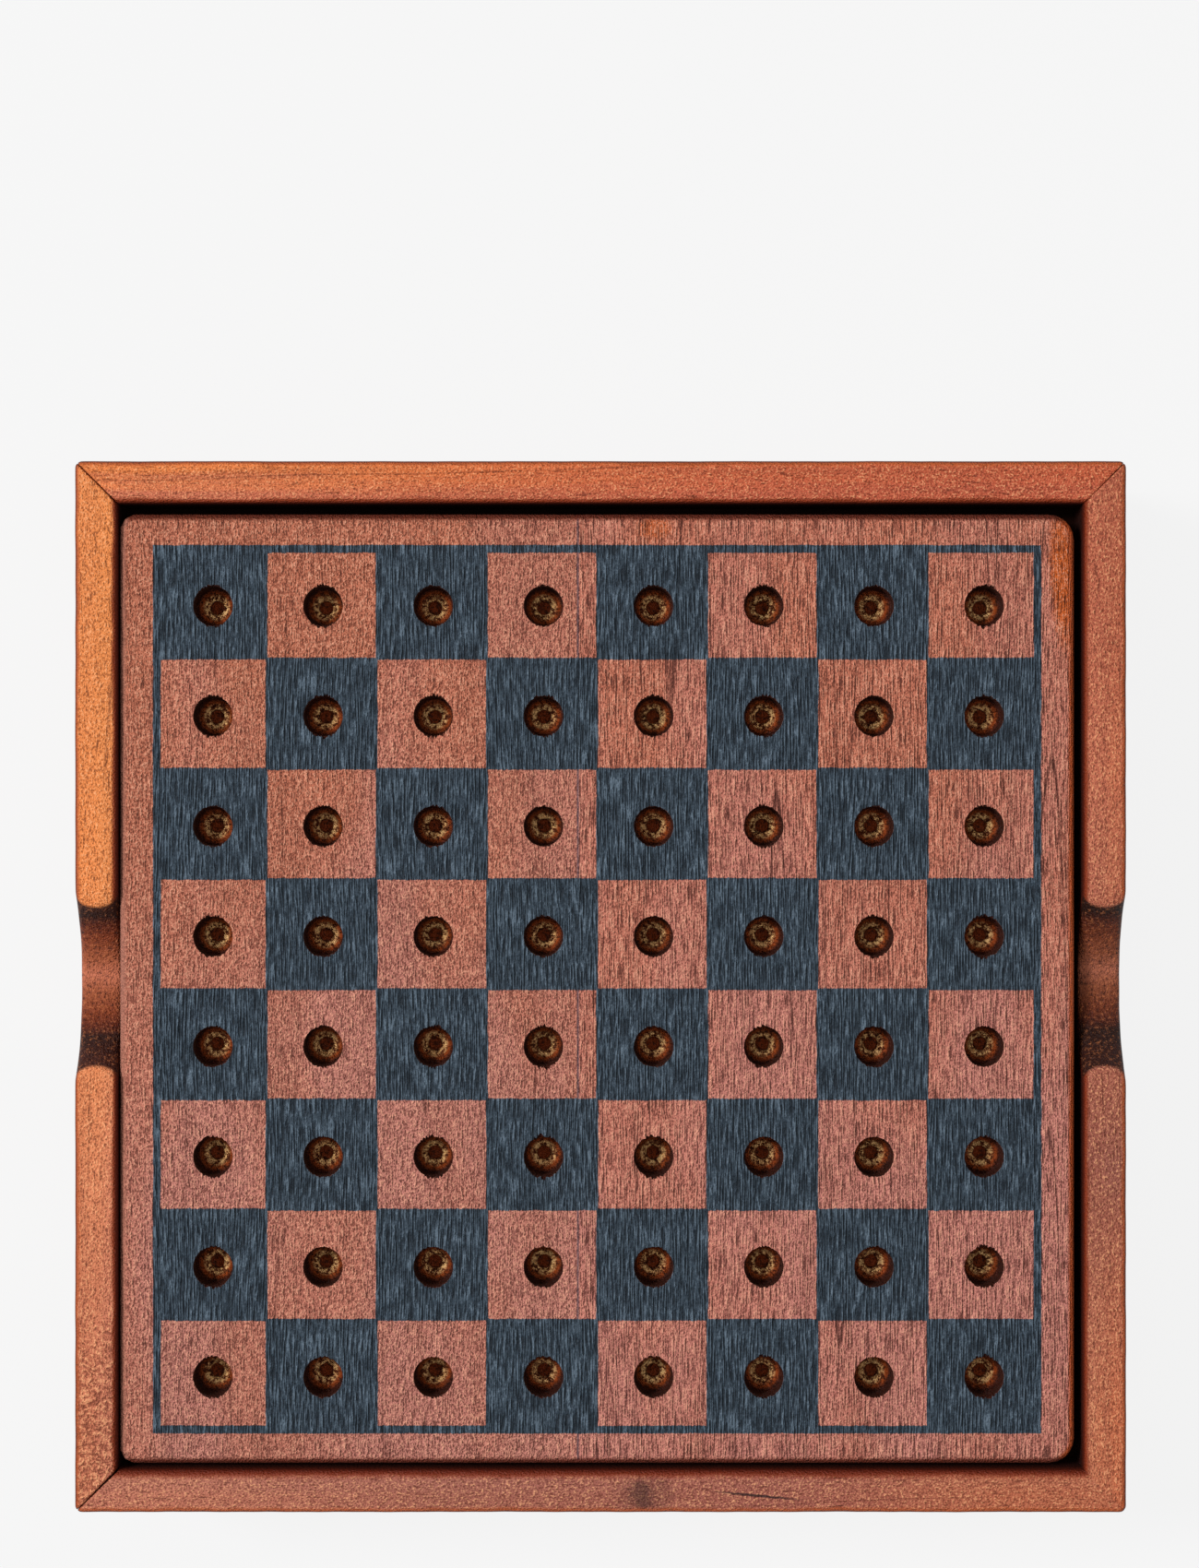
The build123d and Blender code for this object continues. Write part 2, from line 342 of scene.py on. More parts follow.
# The closed outline of a rail's section as (across, height, share that follows the notch, eased, dim).
# Eased is most on the rounded edges, and dim grows down the inner face, which hardly sees the light.
def railSection():
    top, foot, width = rails["topRadius"], rails["footRadius"], railWidth
    grooveLow, grooveHigh = panelLow[2], panelHigh[2] + rails["groovePlay"]
    quarter = np.linspace(0, 90, 8)
    cosine, sine = np.cos(np.radians(quarter)), np.sin(np.radians(quarter))
    outline = [(foot * (1 - s), foot * (1 - c), 0, 0.2, 0) for c, s in zip(cosine, sine)]
    for share in (0.08, 0.2, 0.35, 0.5, 0.65, 0.8, 0.9, 0.95, 0.98, 1.0):
        outline.append((0, foot + (railTop - top - foot) * share, share, 0.2 + 0.8 * share**16, 0))
    outline += [
        (top * (1 - c), railTop - top * (1 - s), 1, 1 - q / 90, 0) for c, s, q in zip(cosine, sine, quarter)
    ][1:]
    outline += [(c, railTop, 1, 0, 0) for c in np.linspace(top * 1.2, width - top * 1.2, 15)]
    outline += [
        (width - top * (1 - c), railTop - top * (1 - s), 1, 1 - q / 90, 0)
        for c, s, q in zip(cosine[::-1], sine[::-1], quarter[::-1])
    ]
    for share in (0.985, 0.96, 0.92, 0.85, 0.7, 0.5, 0.3, 0.15, 0.0):
        dim = min(1.0, (1 - share) * (railTop - grooveHigh) / rails["dimDepth"])
        outline.append((width, grooveHigh + (railTop - top - grooveHigh) * share, share, 1, dim))
    inside = width - rails["grooveDepth"]
    outline += [(inside, grooveHigh, 0, 1, 1), (inside, grooveLow, 0, 1, 1), (width, grooveLow, 0, 1, 1)]
    outline.append((width, 0, 0, 0.2, 0))
    return np.array(outline).T


# The section is carried along the rail. A station s from -1 to 1 lies at s times the half length at that
# distance across, so the ends are the mitres. The rail is made on the left and turned into place.
def buildRail(name, turn, notched):
    across, height, follows, eased, dim = (row[None] for row in railSection())
    ends = np.concatenate([1 - np.geomspace(0.0012, 0.05, 12), [1.0]])
    stations = [np.linspace(-0.94, 0.94, 150), ends, -ends]
    if notched:
        stations.append(np.linspace(-0.25, 0.25, 150))
    station = np.unique(np.concatenate(stations).round(5))[:, None]
    nearTop = np.clip((height - railTop + rails["gapDepth"]) / rails["gapFade"], 0, 1)
    corner = np.where(station < 0, turn, (turn - 1) % 4)
    gap = rails["mitreGaps"][corner]
    gap = gap[..., 0] + (gap[..., 1] - gap[..., 0]) * across / railWidth
    halfLength = halfTray - across - gap * nearTop / math.sqrt(2)
    along = station * halfLength
    wobble = waves(along, longest=60 * mm, shortest=7 * mm, count=5) * rails["wobble"]
    fromFace = np.minimum(across, railWidth - across)
    fromTop = railTop - height
    inRound = (fromFace < rails["topRadius"] * 1.01) & (fromTop < rails["topRadius"] * 1.01)
    shift = np.where(inRound, fromFace * wobble, 0)
    acrossNow = across + np.where(across < railWidth / 2, shift, -shift)
    heightNow = height - np.where(inRound, fromTop * wobble, 0)
    fromEnd = (1 - np.abs(station)) * halfLength
    ease = rails["mitreEase"][corner] * np.clip(1 - fromEnd / rails["easeReach"], 0, 1) ** 2
    heightNow = heightNow - ease * nearTop
    dip = notchDip(along, across) if notched else np.zeros_like(along)
    heightNow = heightNow - dip * follows

    # The outside upright corner: points past the arc's centre are drawn in to its radius
    radius = rails["cornerRadius"]
    centre = halfTray - radius
    past = np.abs(along) - centre
    outside = halfTray - acrossNow - centre
    reach = np.hypot(past, outside)
    limit = np.maximum(radius - across, 0.02 * mm)
    inCorner = (past > 0) & (outside > 0) & (across < radius) & (reach > limit)
    pull = np.where(inCorner, limit / np.maximum(reach, 1e-9), 1)
    along = np.where(pull < 1, np.sign(along) * (centre + past * pull), along)
    acrossNow = np.where(pull < 1, halfTray - (centre + outside * pull), acrossNow)

    x, y = acrossNow - halfTray, along
    for _ in range(turn):
        x, y = -y, x
    points = np.stack(np.broadcast_arrays(x, y, heightNow), axis=-1)
    rows, columns = points.shape[:2]
    quads = gridFaces(rows, columns, wrap=True)
    caps = [list(range(columns)), list(range((rows - 1) * columns, rows * columns))]
    cut = np.clip(dip / rails["cutFull"], 0, 1) * (fromTop < rails["topRadius"] * 1.01)
    masks = {
        "easedEdge": eased + 0 * along, "dimFace": dim + 0 * along,
        "cutFace": cut + 0 * along, "fromOutside": across / railWidth + 0 * along,
    }
    piece = meshPiece(name, "tray", points, quads, caps, masks)
    return piece


railPieces = {}
for turn, side in enumerate(["left", "front", "right", "back"]):
    railPieces[side] = buildRail("rail" + side.capitalize(), turn, side in ("left", "right"))
    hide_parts("rail_" + side)
print("rails:", [len(piece.data.polygons) for piece in railPieces.values()], "faces")


# A screen colour, 0 to 255, as the linear colour that nodes use
def screenColour(red, green, blue):
    def linear(value):
        share = value / 255
        return share / 12.92 if share <= 0.04045 else ((share + 0.055) / 1.055) ** 2.4
    return (linear(red), linear(green), linear(blue), 1.0)


# A node with its settings, and its sockets fed by position or name from sockets or plain values
def put(tree, kind, inputs=(), **settings):
    node = tree.nodes.new(kind)
    for label, value in settings.items():
        setattr(node, label, value)
    for socket, value in dict(inputs).items():
        if isinstance(value, bpy.types.NodeSocket):
            tree.links.new(value, node.inputs[socket])
        else:
            node.inputs[socket].default_value = value
    return node


def maths(tree, operation, a, b=0.0, c=0.0):
    return put(tree, "ShaderNodeMath", {0: a, 1: b, 2: c}, operation=operation).outputs[0]


def vectorMaths(tree, operation, a, b):
    return put(tree, "ShaderNodeVectorMath", {0: a, 1: b}, operation=operation).outputs[0]


# A smooth step of the value from low to high
def ramp(tree, value, low, high, lowOut=0.0, highOut=1.0):
    inputs = {"Value": value, "From Min": low, "From Max": high, "To Min": lowOut, "To Max": highOut}
    return put(tree, "ShaderNodeMapRange", inputs, interpolation_type="SMOOTHSTEP").outputs[0]


# From 0 at the band's start to its full share at its end
def fade(tree, value, band):
    start, end, share = band
    return ramp(tree, value, start, end, 0.0, share)


# Colour a with a share of colour b over it
def mix(tree, share, a, b):
    return put(tree, "ShaderNodeMix", {0: share, 6: a, 7: b}, data_type="RGBA").outputs[2]


# The base with a colour over it that fades in along the band
def laid(tree, base, value, band, colour):
    return mix(tree, fade(tree, value, band), base, screenColour(*colour))


def stretched(tree, vector, x, y, z):
    return vectorMaths(tree, "MULTIPLY", vector, (x, y, z))


def inMillimetres(tree, vector):
    return stretched(tree, vector, 1 / mm, 1 / mm, 1 / mm)


def cloud(tree, vector, scale=1.0, detail=2.0, roughness=0.5, distortion=0.0):
    inputs = {
        "Vector": vector, "Scale": scale, "Detail": detail, "Roughness": roughness, "Distortion": distortion,
    }
    return put(tree, "ShaderNodeTexNoise", inputs).outputs[0]


# The place moved by a noise, each way by up to half the reach
def shaken(tree, place, scale, detail, reach):
    noise = put(tree, "ShaderNodeTexNoise", {"Vector": place, "Scale": scale, "Detail": detail}).outputs[1]
    offset = vectorMaths(tree, "SUBTRACT", noise, (0.5, 0.5, 0.5))
    scaled = put(tree, "ShaderNodeVectorMath", {0: offset, "Scale": reach}, operation="SCALE").outputs[0]
    return vectorMaths(tree, "ADD", place, scaled)


def attribute(tree, name):
    return put(tree, "ShaderNodeAttribute", attribute_name=name).outputs["Fac"]


# An empty node group; each input is a label with its starting value
def startGroup(name, inputs, outputs):
    group = bpy.data.node_groups.new(name, "ShaderNodeTree")
    for label, value in inputs.items():
        kind = "NodeSocketVector" if isinstance(value, tuple) else "NodeSocketFloat"
        group.interface.new_socket(name=label, in_out="INPUT", socket_type=kind).default_value = value
    for label in outputs:
        group.interface.new_socket(name=label, in_out="OUTPUT", socket_type="NodeSocketFloat")
    return group, group.nodes.new("NodeGroupInput").outputs, group.nodes.new("NodeGroupOutput").inputs


# A group placed in a material with its own values
def placeGroup(tree, group, inputs):
    return put(tree, "ShaderNodeGroup", inputs, node_tree=group).outputs


# Bands of grain, as noise with so many waves in a millimetre across, along and through the wood
grainBands = {
    "Fibre": {"perMm": (3.6, 0.7, 3.6), "detail": 1.0},
    "Comb": {"perMm": (4.0, 0.22, 4.0), "detail": 0.0},
    "Streak": {"perMm": (0.42, 0.016, 0.42), "detail": 3.0, "roughness": 0.6},
    "Broad": {"perMm": (0.045, 0.014, 0.045)},
    "Fleck": {"perMm": (2.9, 1.8, 2.9), "detail": 1.0, "roughness": 0.6, "distortion": 0.5},
    "Grit": {"perMm": (3.6, 2.6, 3.6), "detail": 1.0},
    "Wrinkle": {"perMm": (0.7, 0.95, 0.7), "roughness": 0.6, "distortion": 1.6},
    # These go into the bend of the rest, the growth lines and the pores
    "bend": {"perMm": (0.03, 0.011, 0.03)},
    "growth": {"perMm": (0.05, 0.0012, 0.05), "detail": 1.0},
    "broken": {"perMm": (0.3, 0.03, 0.3)},
    "pore": {"perMm": (2.3, 0.3, 2.3)},
}
bendReach = 9.0  # mm sideways, both ways together
seedStep = 37.0  # mm across the wood for each whole seed
lineWidth = 0.035  # half of a growth line, as a share of the space between two


# Wood grain along Y, all of it stretched noise in millimetres: short fibres, long combed grooves, streaks,
# broad tone, growth lines, pores, a mottled fleck, fine grit and leathery wrinkles. Each comes out as 0 to 1.
def grainGroup():
    group, given, out = startGroup(
        "woodGrain",
        {"Vector": (0.0, 0.0, 0.0), "Seed": 0.0, "Bend": 1.0, "Line Count": 9.0},
        ["Fibre", "Comb", "Streak", "Broad", "Line", "Pore", "Fleck", "Grit", "Wrinkle"],
    )

    def band(place, perMm, **settings):
        return cloud(group, stretched(group, place, *perMm), **settings)

    place = inMillimetres(group, given["Vector"])
    shift = maths(group, "MULTIPLY", given["Seed"], seedStep)
    shift = put(group, "ShaderNodeCombineXYZ", {0: shift, 2: given["Seed"]})
    place = vectorMaths(group, "ADD", place, shift.outputs[0])
    bend = maths(group, "SUBTRACT", band(place, **grainBands["bend"]), 0.5)
    bend = maths(group, "MULTIPLY", maths(group, "MULTIPLY", bend, given["Bend"]), bendReach)
    side = put(group, "ShaderNodeCombineXYZ", {0: bend})
    place = vectorMaths(group, "ADD", place, side.outputs[0])
    for label in ("Fibre", "Comb", "Streak", "Broad", "Fleck", "Grit", "Wrinkle"):
        group.links.new(band(place, **grainBands[label]), out[label])
    growth = maths(group, "MULTIPLY", band(place, **grainBands["growth"]), given["Line Count"])
    fromLine = maths(group, "ABSOLUTE", maths(group, "SUBTRACT", maths(group, "FRACT", growth), 0.5))
    line = ramp(group, fromLine, 0.0, lineWidth, 1.0, 0.0)
    broken = ramp(group, band(place, **grainBands["broken"]), 0.38, 0.55)
    group.links.new(maths(group, "MULTIPLY", line, broken), out["Line"])
    group.links.new(ramp(group, band(place, **grainBands["pore"]), 0.62, 0.74), out["Pore"])
    return group


# Where the board is painted. The place is shaken by noise, so that the ink's edges wander and creep along
# the fibres, and then tested against the field, its border line and the plain squares.
def chequerGroup():
    group, given, out = startGroup(
        "chequerPaint",
        {
            "Vector": (0.0, 0.0, 0.0), "Pitch": 18.9, "Half": 76.2, "Border": 1.35, "Inset": 0.17,
            "Wander": 0.3, "Creep": 0.3, "Softness": 0.06,
        },
        ["Paint"],
    )
    place = shaken(group, given["Vector"], 0.35, 2.0, given["Wander"])
    quick = cloud(group, stretched(group, given["Vector"], 2.6, 0.25, 0.0), detail=2.0)
    quick = maths(group, "MULTIPLY", maths(group, "SUBTRACT", quick, 0.5), given["Creep"])
    parts = put(group, "ShaderNodeSeparateXYZ", {0: place}).outputs
    x = maths(group, "MULTIPLY_ADD", quick, 0.5, parts[0])
    y = maths(group, "ADD", parts[1], quick)
    farthest = maths(group, "MAXIMUM", maths(group, "ABSOLUTE", x), maths(group, "ABSOLUTE", y))
    soft = given["Softness"]

    def within(value, limit):
        gap = maths(group, "DIVIDE", maths(group, "SUBTRACT", limit, value), soft)
        return ramp(group, gap, -1.0, 1.0)

    field = within(farthest, given["Half"])
    inner = within(farthest, maths(group, "SUBTRACT", given["Half"], given["Border"]))
    column = maths(group, "ADD", maths(group, "DIVIDE", x, given["Pitch"]), 4.0)
    row = maths(group, "ADD", maths(group, "DIVIDE", y, given["Pitch"]), 4.0)
    both = maths(group, "ADD", maths(group, "FLOOR", column), maths(group, "FLOOR", row))
    plain = maths(group, "LESS_THAN", maths(group, "FRACT", maths(group, "DIVIDE", both, 2.0)), 0.25)
    offX = maths(group, "ABSOLUTE", maths(group, "SUBTRACT", maths(group, "FRACT", column), 0.5))
    offY = maths(group, "ABSOLUTE", maths(group, "SUBTRACT", maths(group, "FRACT", row), 0.5))
    reach = maths(group, "MULTIPLY", maths(group, "MAXIMUM", offX, offY), given["Pitch"])
    limit = maths(group, "SUBTRACT", maths(group, "DIVIDE", given["Pitch"], 2.0), given["Inset"])
    square = maths(group, "MULTIPLY", within(reach, limit), plain)
    bare = maths(group, "MULTIPLY", square, inner)
    group.links.new(maths(group, "SUBTRACT", field, bare), out["Paint"])
    return group


# One mark in the wood, as a mask: 1 in the middle of an ellipse about the vector's zero, and 0 outside it,
# with an edge that noise makes ragged
def markGroup():
    group, given, out = startGroup(
        "grainMark", {"Vector": (0.0, 0.0, 0.0), "Width": 1.0, "Length": 3.0, "Rag": 0.5}, ["Mark"]
    )
    place = shaken(group, given["Vector"], 1.1, 3.0, given["Rag"])
    parts = put(group, "ShaderNodeSeparateXYZ", {0: place}).outputs
    wide = maths(group, "POWER", maths(group, "DIVIDE", parts[0], given["Width"]), 2.0)
    long = maths(group, "POWER", maths(group, "DIVIDE", parts[1], given["Length"]), 2.0)
    group.links.new(ramp(group, maths(group, "ADD", wide, long), 1.0, 0.1), out["Mark"])
    return group


woodGrain, chequerPaint, grainMark = grainGroup(), chequerGroup(), markGroup()


# A material that holds a Principled shader only
def startMaterial(name):
    material = bpy.data.materials.new(name)
    material.use_nodes = True
    tree = material.node_tree
    tree.nodes.clear()
    shader = put(tree, "ShaderNodeBsdfPrincipled")
    result = put(tree, "ShaderNodeOutputMaterial")
    tree.links.new(shader.outputs[0], result.inputs[0])
    return material, tree, shader


# A height of 1 stands out by the distance
def giveRelief(tree, shader, height, distance):
    bump = put(tree, "ShaderNodeBump", {"Height": height, "Distance": distance, "Strength": 1.0})
    tree.links.new(bump.outputs[0], shader.inputs["Normal"])


def coat(piece, material):
    piece.data.materials.clear()
    piece.data.materials.append(material)


# In these dictionaries a band is where a colour starts to show, where it is at its fullest, and the share
# that it has there
# In each stave, ridge is a painted highlight on the raised grain and groove a painted shade in the low grain;
# groove also darkens the streaks
staveWoods = {
    "staveLeft": {
        "seed": 3.0, "bend": 0.6, "lineCount": 7.0, "fleck": 0.9, "grit": 0.9, "fibre": 0.7, "comb": 0.3,
        "crackBand": (0.33, 0.24, 0.45), "line": 0.4, "warm": (184, 107, 81), "cool": (185, 118, 105),
        "ridge": (228, 164, 134), "groove": (92, 42, 30),
    },
    "staveRight": {
        "seed": 8.0, "bend": 0.35, "lineCount": 26.0, "fleck": 0.5, "grit": 0.8, "fibre": 0.7, "comb": 0.8,
        "crackBand": (0.33, 0.24, 0.55), "line": 0.9, "warm": (186, 108, 84), "cool": (187, 118, 106),
        "ridge": (224, 160, 132), "groove": (88, 40, 30),
    },
}
boardStainsAndShade = {
    "warmUntil": 80.0, "coolFrom": -40.0,  # the board turns from warm to cool along Y, in mm
    "line": (56, 24, 18), "crack": (60, 26, 20), "mark": (48, 20, 14), "warmMark": (190, 88, 30),
    # ridgeBand lays the painted highlight and grooveBand the painted shade by the relief's height
    "streakBand": (0.45, 0.7, 0.2), "ridgeBand": (0.05, 0.7, 0.55), "grooveBand": (-0.05, -0.65, 0.66),
    "reliefDepth": 0.2 * mm,
}
paint = {
    # ridge is a painted highlight on the ink's raised grain and groove a painted shade in its low grain
    "body": (48, 60, 71), "ridge": (102, 118, 132), "groove": (6, 10, 16),
    "ridgeBand": (0.05, 0.8, 0.55), "grooveBand": (-0.05, -0.8, 0.65),
    "border": 1.35, "inset": 0.17, "wander": 0.32, "creep": 0.45,  # in mm
    # The ink lies on the long ridges more than in the flecks
    "relief": {"fibre": 0.8, "fleck": 0.3, "grit": 0.35, "comb": 1.3, "line": 0.8},
}
# The cut wood of the holes, by the distance from a hole's middle in mm and by how rough it is; the dark wall
# and the dark torn patches are painted shade, and the pale ring is a painted highlight
bores = {
    "wall": (62, 20, 6), "cone": (142, 62, 20), "coneBand": (3.2, 2.5, 1.0),
    "pit": (116, 46, 13), "pitBand": (1.3, 1.1, 1.0), "torn": (36, 12, 4), "tornBand": (0.52, 0.38, 0.8),
    "ring": (255, 206, 140), "ringInside": (1.1, 1.35, 1.0), "ringOutside": (2.5, 1.7, 1.0),
    "ringBand": (0.43, 0.58, 0.95),
}
# Painted light and shade on the board's eased edge by the way it faces (a pale highlight on the left, shade
# at the front and back, orange on the right), and painted shade down its sides
boardEdgeLightAndShade = {
    "left": (168, 108, 90), "ends": (92, 32, 14), "right": (172, 74, 24), "side": (30, 9, 5),
    "leftBand": (-0.3, -0.8, 1.0), "rightBand": (0.3, 0.8, 1.0), "easedBand": (0.03, 0.6, 0.94),
}
boardMarks = [
    {"place": (76.0, 20.0), "width": 0.14, "length": 9.0, "turn": 4.0, "rag": 0.5, "share": 0.6},
    {"place": (-58.0, -77.0), "width": 0.3, "length": 2.6, "turn": -6.0, "rag": 0.6, "share": 0.5},
]
warmMarks = [  # where the stain shows orange
    {"place": (9.3, 78.6), "width": 3.6, "length": 2.6, "turn": 0.0, "rag": 1.6, "share": 0.7},
    {"place": (79.2, 70.0), "width": 2.6, "length": 15.0, "turn": 3.0, "rag": 1.4, "share": 1.0},
]
glueLine = {"band": (0.32 * mm, 0.0, 0.85), "colour": (84, 70, 80)}


# How high the wood stands, about -1 to 1: each band of grain swings about its middle by its share
def reliefOf(tree, grain, wood):
    height = 0.0
    for band, swing in {"Fibre": 3.2, "Fleck": 3.0, "Grit": 3.2, "Comb": 3.2}.items():
        offset = maths(tree, "SUBTRACT", grain[band], 0.5)
        height = maths(tree, "MULTIPLY_ADD", offset, wood[band.lower()] * swing, height)
    height = maths(tree, "MULTIPLY_ADD", grain["Line"], -0.8 * wood["line"], height)
    return maths(tree, "MULTIPLY_ADD", grain["Pore"], -0.5, height)


# The marks of a list as one mask, each centred and turned by its own Mapping node
def marksOf(tree, place, marks):
    total = 0.0
    for mark in marks:
        spot = put(tree, "ShaderNodeMapping", {
            "Vector": place, "Location": (mark["place"][0] * mm, mark["place"][1] * mm, railTop),
            "Rotation": (0, 0, math.radians(mark["turn"])), "Scale": (mm, mm, mm),
        }, vector_type="TEXTURE").outputs[0]
        one = placeGroup(tree, grainMark, {
            "Vector": spot, "Width": mark["width"], "Length": mark["length"], "Rag": mark["rag"],
        })["Mark"]
        total = maths(tree, "MULTIPLY_ADD", one, mark["share"], total)
    return maths(tree, "MINIMUM", total, 1.0)


# Stained wood with a painted highlight on its raised grain and painted shade in its low grain, paint over it
# where the chequer lies, the cut wood of the holes over both with painted shade and a painted highlight in
# them, and painted light and shade on the eased edge and sides
def staveMaterial(name):
    wood, stainsAndShade = staveWoods[name], boardStainsAndShade
    material, tree, shader = startMaterial(name + "Wood")
    place = put(tree, "ShaderNodeTexCoord").outputs["Object"]
    grain = placeGroup(tree, woodGrain, {
        "Vector": place, "Seed": wood["seed"], "Bend": wood["bend"], "Line Count": wood["lineCount"],
    })
    onPaint = put(tree, "ShaderNodeMapping", {
        "Vector": place, "Scale": (1 / mm, 1 / mm, 1 / mm),
        "Location": (-paintCentre[0] / mm, -paintCentre[1] / mm, 0),
    }).outputs[0]
    painted = placeGroup(tree, chequerPaint, {
        "Vector": onPaint, "Pitch": pitch / mm, "Half": paintHalf / mm, "Border": paint["border"],
        "Inset": paint["inset"], "Wander": paint["wander"], "Creep": paint["creep"],
    })["Paint"]
    depth, radius = attribute(tree, "boreDepth"), attribute(tree, "boreRadius")
    eased, dim, facing = (attribute(tree, label) for label in ("easedEdge", "dimFace", "facing"))
    relief, inkRelief = reliefOf(tree, grain, wood), reliefOf(tree, grain, paint["relief"])

    across = put(tree, "ShaderNodeSeparateXYZ", {0: place}).outputs
    cool = ramp(tree, across[1], stainsAndShade["warmUntil"] * mm, stainsAndShade["coolFrom"] * mm, -0.2, 0.5)
    cool = maths(tree, "MULTIPLY_ADD", ramp(tree, grain["Broad"], 0.38, 0.62), 0.6, cool)
    base = mix(tree, cool, screenColour(*wood["warm"]), screenColour(*wood["cool"]))
    base = laid(tree, base, grain["Streak"], stainsAndShade["streakBand"], wood["groove"])
    base = mix(tree, marksOf(tree, place, warmMarks), base, screenColour(*stainsAndShade["warmMark"]))
    # Painted highlight on the raised grain and painted shade in the low grain
    base = laid(tree, base, relief, stainsAndShade["ridgeBand"], wood["ridge"])
    base = laid(tree, base, relief, stainsAndShade["grooveBand"], wood["groove"])
    lines = maths(tree, "MULTIPLY", grain["Line"], 0.7 * wood["line"])
    base = mix(tree, lines, base, screenColour(*stainsAndShade["line"]))
    base = laid(tree, base, grain["Comb"], wood["crackBand"], stainsAndShade["crack"])
    base = mix(tree, marksOf(tree, place, boardMarks), base, screenColour(*stainsAndShade["mark"]))
    fromGlue = maths(tree, "ABSOLUTE", maths(tree, "SUBTRACT", across[0], glueX))
    base = laid(tree, base, fromGlue, glueLine["band"], glueLine["colour"])
    # The ink's painted highlight on its ridges and painted shade in its grooves
    ink = laid(tree, screenColour(*paint["body"]), inkRelief, paint["ridgeBand"], paint["ridge"])
    ink = laid(tree, ink, inkRelief, paint["grooveBand"], paint["groove"])
    inBore = ramp(tree, depth, 0.02, 0.16)
    onFace = maths(tree, "MULTIPLY", painted, maths(tree, "SUBTRACT", 1.0, inBore))
    colour = mix(tree, onFace, base, ink)

    # Inside a hole: painted shade on the wall and in dark torn patches, a painted highlight ring on the cone,
    # and the dark pit of the bit's point
    rough = cloud(tree, inMillimetres(tree, place), scale=1.5, detail=3.0, roughness=0.7)
    inside, outside = fade(tree, radius, bores["ringInside"]), fade(tree, radius, bores["ringOutside"])
    highlightRing = maths(tree, "MULTIPLY", inside, outside)
    highlightRing = maths(tree, "MULTIPLY", highlightRing, fade(tree, rough, bores["ringBand"]))
    cut = laid(tree, screenColour(*bores["wall"]), radius, bores["coneBand"], bores["cone"])
    cut = laid(tree, cut, radius, bores["pitBand"], bores["pit"])
    cut = laid(tree, cut, rough, bores["tornBand"], bores["torn"])
    cut = mix(tree, highlightRing, cut, screenColour(*bores["ring"]))
    colour = mix(tree, inBore, colour, cut)

    # Painted light and shade on the eased edge by the way it faces, then painted shade down the sides
    rim = laid(tree, screenColour(*boardEdgeLightAndShade["ends"]), facing, boardEdgeLightAndShade["leftBand"], boardEdgeLightAndShade["left"])
    rim = laid(tree, rim, facing, boardEdgeLightAndShade["rightBand"], boardEdgeLightAndShade["right"])
    colour = mix(tree, fade(tree, eased, boardEdgeLightAndShade["easedBand"]), colour, rim)
    colour = mix(tree, dim, colour, screenColour(*boardEdgeLightAndShade["side"]))
    tree.links.new(colour, shader.inputs["Base Color"])
    tree.links.new(ramp(tree, relief, -0.8, 0.8, 0.7, 0.5), shader.inputs["Roughness"])
    shader.inputs["Specular IOR Level"].default_value = 0.2
    apart = maths(tree, "SUBTRACT", inkRelief, relief)
    height = maths(tree, "MULTIPLY_ADD", apart, onFace, relief)
    giveRelief(tree, shader, height, stainsAndShade["reliefDepth"])
    return material


for piece in (staveLeft, staveRight):
    coat(piece, staveMaterial(piece.name))


railWoods = {
    # Colours of the outer and the inner half from one end of the rail to the other, towards +X or +Y
    "left": {
        "seed": 11.0, "along": 1, "marks": [],
        "outer": [(190, 110, 80), (206, 122, 82), (224, 130, 68), (216, 126, 68)],
        "inner": [(182, 106, 80), (200, 118, 84), (222, 132, 70), (220, 130, 68)],
    },
    "front": {
        "seed": 15.0, "along": 0,
        "outer": [(178, 106, 84), (154, 90, 74), (152, 86, 72), (172, 94, 66)],
        "inner": [(176, 108, 88), (156, 94, 80), (152, 88, 74), (170, 96, 70)],
        "marks": [
            {"place": (7.0, -87.0), "width": 2.3, "length": 3.6, "turn": 12.0, "rag": 4.4, "share": 0.42},
            {"place": (7.8, -86.8), "width": 6.4, "length": 4.8, "turn": 0.0, "rag": 4.4, "share": 0.32},
            {"place": (26.8, -87.0), "width": 9.0, "length": 0.3, "turn": -5.6, "rag": 0.5, "share": 1.0},
        ],
    },
    "right": {
        "seed": 21.0, "along": 1, "marks": [],
        "outer": [(188, 102, 68), (142, 82, 68), (184, 100, 70), (170, 88, 62)],
        "inner": [(182, 104, 74), (152, 88, 72), (182, 100, 74), (178, 94, 68)],
    },
    "back": {
        "seed": 27.0, "along": 0, "marks": [],
        "outer": [(226, 126, 64), (206, 106, 58), (196, 94, 58), (186, 86, 54)],
        "inner": [(192, 104, 74), (182, 92, 62), (178, 84, 58), (184, 86, 58)],
    },
}
railRelief = {"fibre": 0.35, "fleck": 0.7, "grit": 1.0, "comb": 0.0, "line": 0.3}
railStainsAndShade = {
    # ridge is a painted highlight on the raised grain and groove a painted shade in the low grain
    "streak": (112, 46, 30), "ridge": (246, 178, 128), "groove": (92, 36, 20), "cut": (80, 32, 20),
    "mark": (62, 36, 32), "cutShare": 0.35, "reliefDepth": 0.12 * mm,
    "streakBand": (0.42, 0.72, 0.22), "ridgeBand": (0.1, 0.8, 0.5), "grooveBand": (-0.1, -0.7, 0.6),
    "places": [-72.0, -28.0, 28.0, 72.0],  # of railWoods' four colours, in mm along the rail
}
